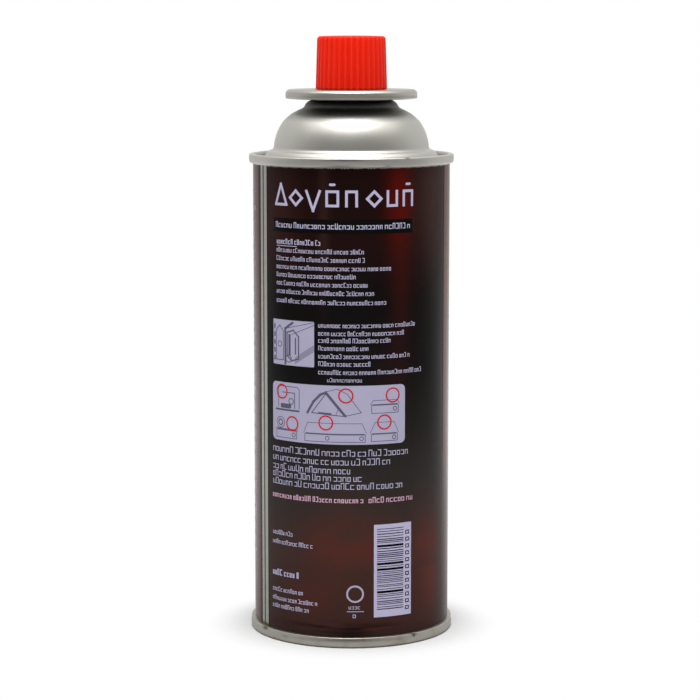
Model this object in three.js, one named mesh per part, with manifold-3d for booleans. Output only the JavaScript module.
// A cartridge of butane for a portable stove, standing upright, in millimetres with +Z up.
// The axis of the can is the Z axis, the rim of its base stands on z = 0, and the printed
// front of the label faces -Y. The cap is pressed on, so it covers the valve.

import * as THREE from 'three';
import { mergeVertices } from 'three/addons/utils/BufferGeometryUtils.js';
import Module from 'manifold-3d';

const wasm = await Module();
wasm.setup();

// Body and seams
const BODY_R = 32.7;
const SEAM_R = 34;
const BASE_SEAM_TOP = 3.95;
const TOP_SEAM_TOP = 160;
const TOP_SEAM_HEIGHT = 3.8;
const TOP_SEAM_FOOT = TOP_SEAM_TOP - TOP_SEAM_HEIGHT;
const SEAM_INNER_R = 32.15;
const DISH_RIM_R = 29.4;
const DISH_RIM_Z = 4.6;
const DISH_RISE = 5;
const COUNTERSINK_DEPTH = 4.4;
const COUNTERSINK_Z = TOP_SEAM_TOP - COUNTERSINK_DEPTH;

// Shoulder and dome
const STEP_R = 28.9;
const STEP_RISE = 1.5;
const DOME_FOOT_R = 26.2;
const DOME_FOOT_Z = TOP_SEAM_TOP + STEP_RISE;
const DOME_HEIGHT = 16.1;
const DOME_TUCK = 0.37;
const DOME_CENTRE_R = 13.05;
const DOME_CENTRE_DROP = 0.76;
const DOME_START = 5;
const DOME_END = 76.5;
const CURL_R = 15.75;
const CURL_TOP = DOME_FOOT_Z + DOME_HEIGHT;
const CURL_HALF = 1.9;
const NECK_DROP = 2.62;
const MOUTH_DEPTH = 2.9;
const MOUTH_R = 12.7;
const POCKET_R = 13.7;
const POCKET_DEPTH = 17.6;
const POCKET_FLOOR = CURL_TOP - POCKET_DEPTH;

// Valve cup, pressed from one sheet
const SHEET = 0.4;
const CLEARANCE = 0.3;
const COLLAR_R = 21.85;
const COLLAR_THICKNESS = 3.1;
const COLLAR_FOOT = CURL_TOP + CLEARANCE;
const COLLAR_TOP = COLLAR_FOOT + COLLAR_THICKNESS;
const CUP_R = 11.3;
const CUP_TUCK = 2.5;
const CUP_FLOOR = CURL_TOP - MOUTH_DEPTH - CUP_TUCK;
const CUP_SWAGE_TOP = 2.6;
const TURRET_R = 5.6;
const TURRET_RISE = 3;
const TURRET_TOP = COLLAR_TOP + TURRET_RISE;
const SWAGE_DROP = 4.8;
const SWAGE_Z = TURRET_TOP - SWAGE_DROP;
const SWAGE_DEPTH = 0.45;
const NOTCH_WIDTH = 6;
const NOTCH_DEPTH = 4.5;

// Valve in the turret
const STEM_R = 2;
const STEM_REACH = 6;
const STEM_TOP = TURRET_TOP + STEM_REACH;
const STEM_BORE_R = 0.8;
const PORT_R = 0.35;
const SHOULDER_R = 3.1;
const SHOULDER_HEIGHT = 1.5;
const TAIL_R = 1.6;
const TAIL_LENGTH = 3.6;
const WASHER = 0.9;
const RUN_GAP = 0.2;
const SHOULDER_FOOT = TURRET_TOP - SHEET - 2 * CLEARANCE - WASHER - SHOULDER_HEIGHT;
const HOUSING_BORE_R = 3.5;
const HOUSING_DEPTH = 19.4;
const HOUSING_FLOOR = TURRET_TOP - HOUSING_DEPTH;
const WIRE_R = 0.3;
const COIL_R = 2.3;
const COIL_TURNS = 6.5;

// Cap
const RIBS = 36;
const RIB_DEPTH = 0.45;
const CAP_FOOT_R = 11.95;
const CAP_TOP_R = 11.47;
const CAP_FOOT = COLLAR_TOP + CLEARANCE;
const CAP_HEIGHT = 17.05;
const CAP_TOP = CAP_FOOT + CAP_HEIGHT;
const CAP_WALL = 1.8;
const CROWN = 1.45;
const SPIGOT_DEPTH = 3.8;

// Turns a profile of [radius, height] pairs about the axis of the can.
function turned(profile, sides) {
  const points = profile.map(([r, z]) => new THREE.Vector2(r, z));
  const geometry = new THREE.LatheGeometry(points, sides);
  geometry.rotateX(Math.PI / 2);
  return geometry;
}

// Points along an elliptical arc, both ends included, with angles in degrees.
function arc([r, z], [a, b], from, to, steps) {
  const points = [];
  for (let i = 0; i <= steps; i += 1) {
    const angle = THREE.MathUtils.degToRad(from + (to - from) * i / steps);
    points.push([r + a * Math.cos(angle), z + b * Math.sin(angle)]);
  }
  return points;
}

function solidOf(geometry) {
  const bare = geometry.clone();
  bare.deleteAttribute('normal');
  bare.deleteAttribute('uv');
  const merged = mergeVertices(bare, 1e-5);
  return new wasm.Manifold(new wasm.Mesh({
    numProp: 3,
    vertProperties: new Float32Array(merged.attributes.position.array),
    triVerts: new Uint32Array(merged.index.array),
  }));
}

function geometryOf(solid) {
  const mesh = solid.getMesh();
  const geometry = new THREE.BufferGeometry();
  geometry.setAttribute('position', new THREE.BufferAttribute(mesh.vertProperties, 3));
  geometry.setIndex(new THREE.BufferAttribute(mesh.triVerts, 1));
  geometry.computeVertexNormals();
  return geometry;
}

// The can is a body with an end seamed on below and a domed end seamed on above. It is sealed
// for good, so it is one solid, with a pocket at the mouth that the valve hangs in.
function canGeometry() {
  const domeCentreZ = DOME_FOOT_Z - DOME_CENTRE_DROP;
  const domeHalf = [
    (DOME_FOOT_R - DOME_TUCK - DOME_CENTRE_R) / Math.cos(THREE.MathUtils.degToRad(DOME_START)),
    (CURL_TOP - NECK_DROP - domeCentreZ) / Math.sin(THREE.MathUtils.degToRad(DOME_END)),
  ];
  const profile = [
    // Dished base, rising to the middle
    ...[0, 0.3, 0.58, 0.82, 1].map((t) => [t * DISH_RIM_R, DISH_RIM_Z + DISH_RISE * (1 - t * t)]),
    [SEAM_INNER_R - 1.15, DISH_RIM_Z - 0.4],
    // Seam of the base, a rolled hook that the can stands on
    [SEAM_INNER_R - 0.55, DISH_RIM_Z - 1.3],
    [SEAM_INNER_R - 0.4, 1],
    [SEAM_INNER_R - 0.1, 0.25],
    [SEAM_INNER_R + 0.4, 0],
    [SEAM_R - 0.8, 0],
    [SEAM_R - 0.25, 0.3],
    [SEAM_R, 0.95],
    [SEAM_R, BASE_SEAM_TOP - 1.1],
    [SEAM_R - 0.25, BASE_SEAM_TOP - 0.45],
    [SEAM_R - 0.8, BASE_SEAM_TOP - 0.1],
    [BODY_R, BASE_SEAM_TOP + 0.35],
    [BODY_R, TOP_SEAM_FOOT - 0.3],
    // Seam of the domed end
    [SEAM_R - 0.75, TOP_SEAM_FOOT + 0.3],
    [SEAM_R - 0.2, TOP_SEAM_FOOT + 0.6],
    [SEAM_R, TOP_SEAM_FOOT + 1.15],
    [SEAM_R, TOP_SEAM_TOP - 0.8],
    [SEAM_R - 0.25, TOP_SEAM_TOP - 0.25],
    [SEAM_R - 0.8, TOP_SEAM_TOP],
    [SEAM_INNER_R + 0.6, TOP_SEAM_TOP],
    [SEAM_INNER_R + 0.15, TOP_SEAM_TOP - 0.35],
    [SEAM_INNER_R, TOP_SEAM_TOP - 1],
    // Countersink, and the step that rises out of it
    [SEAM_INNER_R - 0.45, COUNTERSINK_Z + 1],
    [SEAM_INNER_R - 0.95, COUNTERSINK_Z + 0.25],
    [SEAM_INNER_R - 1.65, COUNTERSINK_Z],
    [STEP_R + 0.95, COUNTERSINK_Z + 0.35],
    [STEP_R + 0.5, COUNTERSINK_Z + 1.3],
    [STEP_R, DOME_FOOT_Z - 2.5],
    [STEP_R - 0.6, DOME_FOOT_Z - 1.55],
    [STEP_R - 1.8, DOME_FOOT_Z - 0.55],
    [DOME_FOOT_R, DOME_FOOT_Z],
    // Dome, up to the curl of the mouth
    ...arc([DOME_CENTRE_R, domeCentreZ], domeHalf, DOME_START, DOME_END, 9),
    ...arc([MOUTH_R + 1.45, CURL_TOP - CURL_HALF], [CURL_R - MOUTH_R - 1.45, CURL_HALF], -12, 90, 4),
    ...arc([MOUTH_R + 0.7, CURL_TOP - 0.7], [0.7, 0.7], 90, 180, 2),
    // Pocket behind the mouth
    [MOUTH_R, CURL_TOP - MOUTH_DEPTH],
    [POCKET_R, CURL_TOP - MOUTH_DEPTH - 0.8],
    [POCKET_R, POCKET_FLOOR],
    [0, POCKET_FLOOR],
  ];
  return turned(profile, 52);
}

// The cup, its turret and the collar are one pressing. The collar's rim is folded back under,
// down to the curl of the mouth, and the notch is cut through both layers.
function valveCupGeometry() {
  const wall = CUP_R + SHEET;
  const foldR = COLLAR_R - 0.8;
  const foot = CUP_FLOOR - SHEET;
  const ceiling = TURRET_TOP - SHEET;
  const inside = TURRET_R - SHEET;
  const hole = STEM_R + SHEET;
  const profile = [
    [hole, TURRET_TOP],
    [TURRET_R - 0.6, TURRET_TOP],
    [TURRET_R, TURRET_TOP - 0.6],
    [TURRET_R, SWAGE_Z + 0.9],
    [TURRET_R - SWAGE_DEPTH, SWAGE_Z + 0.3],
    [TURRET_R - SWAGE_DEPTH, SWAGE_Z - 0.3],
    [TURRET_R, SWAGE_Z - 0.9],
    [TURRET_R, CUP_FLOOR + 0.8],
    [TURRET_R + 0.8, CUP_FLOOR],
    [CUP_R - 0.9, CUP_FLOOR],
    // Wall of the cup, swaged out under the curl of the mouth
    [MOUTH_R - 0.2, CUP_FLOOR + 0.75],
    [MOUTH_R - 0.15, CUP_FLOOR + 1.3],
    [CUP_R, CUP_FLOOR + CUP_SWAGE_TOP],
    [CUP_R, COLLAR_TOP - 0.8],
    [CUP_R + 0.25, COLLAR_TOP - 0.2],
    [CUP_R + 0.8, COLLAR_TOP],
    // Collar, folded back under at its rim
    ...arc([foldR, COLLAR_TOP - 0.8], [0.8, 0.8], 90, 0, 3),
    ...arc([foldR, COLLAR_FOOT + 0.8], [0.8, 0.8], 0, -90, 3),
    [MOUTH_R + 0.1, COLLAR_FOOT],
    [MOUTH_R + 0.1, COLLAR_FOOT + SHEET],
    [foldR, COLLAR_FOOT + SHEET],
    [COLLAR_R - SHEET, COLLAR_FOOT + 0.8],
    [COLLAR_R - SHEET, COLLAR_TOP - 0.8],
    [foldR, COLLAR_TOP - SHEET],
    [wall + 0.4, COLLAR_TOP - SHEET],
    [wall, COLLAR_TOP - 0.8],
    [wall, CUP_FLOOR + CUP_SWAGE_TOP],
    [MOUTH_R + 0.25, CUP_FLOOR + 1.5],
    [MOUTH_R + 0.2, CUP_FLOOR + 0.5],
    [CUP_R - 0.7, foot],
    [TURRET_R + 0.3, foot],
    [inside, CUP_FLOOR + 0.5],
    [inside, SWAGE_Z - 1],
    [inside - SWAGE_DEPTH, SWAGE_Z - 0.4],
    [inside - SWAGE_DEPTH, SWAGE_Z + 0.4],
    [inside, SWAGE_Z + 1],
    [inside, ceiling - 0.3],
    [inside - 0.3, ceiling],
    [hole, ceiling],
    [hole, TURRET_TOP],
  ].reverse();

  const half = NOTCH_WIDTH / 2;
  const inner = COLLAR_R - NOTCH_DEPTH;
  const corner = 1;
  const slot = new THREE.Shape();
  slot.moveTo(half, COLLAR_R + 2);
  slot.lineTo(-half, COLLAR_R + 2);
  slot.lineTo(-half, inner + corner);
  slot.absarc(-half + corner, inner + corner, corner, Math.PI, 1.5 * Math.PI, false);
  slot.absarc(half - corner, inner + corner, corner, 1.5 * Math.PI, 2 * Math.PI, false);
  slot.lineTo(half, COLLAR_R + 2);
  const depth = COLLAR_TOP - COLLAR_FOOT + 2;
  const notch = new THREE.ExtrudeGeometry(slot, { depth, bevelEnabled: false, curveSegments: 3 });
  notch.translate(0, 0, COLLAR_FOOT - 1);

  return geometryOf(solidOf(turned(profile, 40)).subtract(solidOf(notch)));
}

// A plastic sleeve pushed on the cup, that seals it in the mouth.
function cupGasketGeometry() {
  const inner = CUP_R + SHEET + CLEARANCE;
  const outer = MOUTH_R - CLEARANCE;
  const foot = CUP_FLOOR + CUP_SWAGE_TOP + 0.1;
  const profile = [
    [inner, foot],
    [outer, foot],
    [outer, CURL_TOP],
    [inner, CURL_TOP],
    [inner, foot],
  ];
  return turned(profile, 40);
}

// The housing is a plastic tub held in the turret by the swage under its flange.
function housingGeometry() {
  const flangeR = TURRET_R - SHEET - 0.25;
  const bodyR = flangeR - SWAGE_DEPTH - 0.05;
  const top = TURRET_TOP - SHEET - CLEARANCE - WASHER - RUN_GAP;
  const profile = [
    [0.6, HOUSING_FLOOR - 3.1],
    [1.6, HOUSING_FLOOR - 3.1],
    [1.9, HOUSING_FLOOR - 1.8],
    [bodyR - 0.6, HOUSING_FLOOR - 1.4],
    [bodyR, HOUSING_FLOOR - 0.7],
    [bodyR, SWAGE_Z + 0.3],
    [flangeR, SWAGE_Z + 1.1],
    [flangeR, top],
    [HOUSING_BORE_R, top],
    [HOUSING_BORE_R, HOUSING_FLOOR],
    [0.6, HOUSING_FLOOR],
    [0.6, HOUSING_FLOOR - 3.1],
  ];
  return turned(profile, 24);
}

// A rubber washer round the stem, between the housing and the top of the turret.
function stemGasketGeometry() {
  const top = TURRET_TOP - SHEET - CLEARANCE;
  const foot = top - WASHER;
  const inner = STEM_R + CLEARANCE;
  const outer = TURRET_R - SHEET - 0.25;
  return turned([[inner, foot], [outer, foot], [outer, top], [inner, top], [inner, foot]], 24);
}

// The stem is a nozzle with a bore down to a cross hole that the gasket closes at rest, and
// a shoulder that the spring lifts against the gasket.
function stemGeometry() {
  const washerMid = TURRET_TOP - SHEET - CLEARANCE - WASHER / 2;
  const profile = [
    [0, SHOULDER_FOOT - TAIL_LENGTH],
    [TAIL_R - 0.4, SHOULDER_FOOT - TAIL_LENGTH],
    [TAIL_R, SHOULDER_FOOT - TAIL_LENGTH + 0.6],
    [TAIL_R, SHOULDER_FOOT],
    [SHOULDER_R, SHOULDER_FOOT],
    [SHOULDER_R, SHOULDER_FOOT + SHOULDER_HEIGHT],
    [STEM_R, SHOULDER_FOOT + SHOULDER_HEIGHT],
    [STEM_R, STEM_TOP - 0.6],
    [STEM_R - 0.4, STEM_TOP],
    [STEM_BORE_R + 0.25, STEM_TOP],
    [STEM_BORE_R, STEM_TOP - 0.4],
    [STEM_BORE_R, washerMid - PORT_R],
    [0, washerMid - PORT_R],
  ];
  const port = new THREE.CylinderGeometry(PORT_R, PORT_R, 3 * STEM_R, 8);
  port.rotateZ(Math.PI / 2);
  port.translate(0, 0, washerMid);
  return geometryOf(solidOf(turned(profile, 24)).subtract(solidOf(port)));
}

// The spring stands on the floor of the housing and carries the stem's shoulder.
class Helix extends THREE.Curve {
  constructor(radius, foot, top, turns) {
    super();
    this.radius = radius;
    this.foot = foot;
    this.top = top;
    this.turns = turns;
  }

  getPoint(t, target = new THREE.Vector3()) {
    const angle = 2 * Math.PI * this.turns * t;
    const x = this.radius * Math.cos(angle);
    const y = this.radius * Math.sin(angle);
    return target.set(x, y, this.foot + (this.top - this.foot) * t);
  }
}

function springGeometry() {
  const foot = HOUSING_FLOOR + 0.1 + WIRE_R;
  const top = SHOULDER_FOOT - 0.1 - WIRE_R;
  const wire = new THREE.Shape().absarc(0, 0, WIRE_R, 0, 2 * Math.PI, false);
  const geometry = new THREE.ExtrudeGeometry(wire, {
    steps: 13 * 7,
    curveSegments: 3,
    bevelEnabled: false,
    extrudePath: new Helix(COIL_R, foot, top, COIL_TURNS),
  });
  return geometry;
}

// The cap is a moulded tub. Its ribs run the full height and end in a scalloped foot, and a
// plain spigot below them presses into the cup.
function capGeometry() {
  const sides = RIBS * 4;
  const edge = 1;
  // Each row is [radius, height, depth of the groove, lift of the groove]
  const rows = [
    [0, CAP_FOOT, 0, 0],
    [CAP_FOOT_R - 0.8, CAP_FOOT, 0, 0],
    [CAP_FOOT_R, CAP_FOOT, RIB_DEPTH, 0.35],
    [CAP_TOP_R, CAP_TOP - edge, RIB_DEPTH, 0],
    [CAP_TOP_R - 0.25, CAP_TOP - 0.4, RIB_DEPTH * 0.9, 0],
    [CAP_TOP_R - 0.75, CAP_TOP - 0.08, RIB_DEPTH * 0.55, 0],
    [CAP_TOP_R - 1.5, CAP_TOP, 0, 0],
    [0, CAP_TOP, 0, 0],
  ];
  const ribbed = turned(rows, sides);
  const position = ribbed.attributes.position;
  for (let side = 0; side <= sides; side += 1) {
    const groove = (1 - Math.cos(2 * Math.PI * side / 4)) / 2;
    const angle = 2 * Math.PI * side / sides;
    rows.forEach(([radius, height, depth, lift], row) => {
      const r = radius - depth * groove;
      const index = side * rows.length + row;
      position.setXYZ(index, r * Math.sin(angle), -r * Math.cos(angle), height + lift * groove);
    });
  }

  const spigotR = CUP_R - CLEARANCE;
  const spigotFoot = CAP_FOOT - SPIGOT_DEPTH;
  const bore = CAP_TOP_R - CAP_WALL;
  const spigot = turned([
    [0, spigotFoot],
    [spigotR - 0.3, spigotFoot],
    [spigotR, spigotFoot + 0.3],
    [spigotR, CAP_FOOT + 0.5],
    [0, CAP_FOOT + 0.5],
  ], 48);
  const cavity = turned([
    [0, spigotFoot - 1],
    [bore + 0.3, spigotFoot - 1],
    [bore + 0.3, spigotFoot],
    [bore, spigotFoot + 0.6],
    [bore, CAP_TOP - CROWN - 0.5],
    [bore - 0.5, CAP_TOP - CROWN],
    [0, CAP_TOP - CROWN],
  ], 48);
  const cap = solidOf(ribbed).add(solidOf(spigot)).subtract(solidOf(cavity));
  return geometryOf(cap);
}

function piece(name, geometry, color, roughness, metalness) {
  const mesh = new THREE.Mesh(geometry, new THREE.MeshStandardMaterial({ color, roughness, metalness }));
  mesh.name = name;
  return mesh;
}

const cartridge = new THREE.Group();
cartridge.add(
  piece('can', canGeometry(), 0x35211f, 0.3, 0.4),
  piece('valve_cup', valveCupGeometry(), 0xa5a39d, 0.3, 1),
  piece('cup_gasket', cupGasketGeometry(), 0xd8d4c8, 0.6, 0),
  piece('valve_housing', housingGeometry(), 0xe6e2d6, 0.5, 0),
  piece('stem_gasket', stemGasketGeometry(), 0x1c1b1a, 0.7, 0),
  piece('valve_spring', springGeometry(), 0x9a9a98, 0.3, 1),
  piece('valve_stem', stemGeometry(), 0xc9a35a, 0.35, 1),
  piece('cap', capGeometry(), 0xe52611, 0.45, 0),
);

export default cartridge;
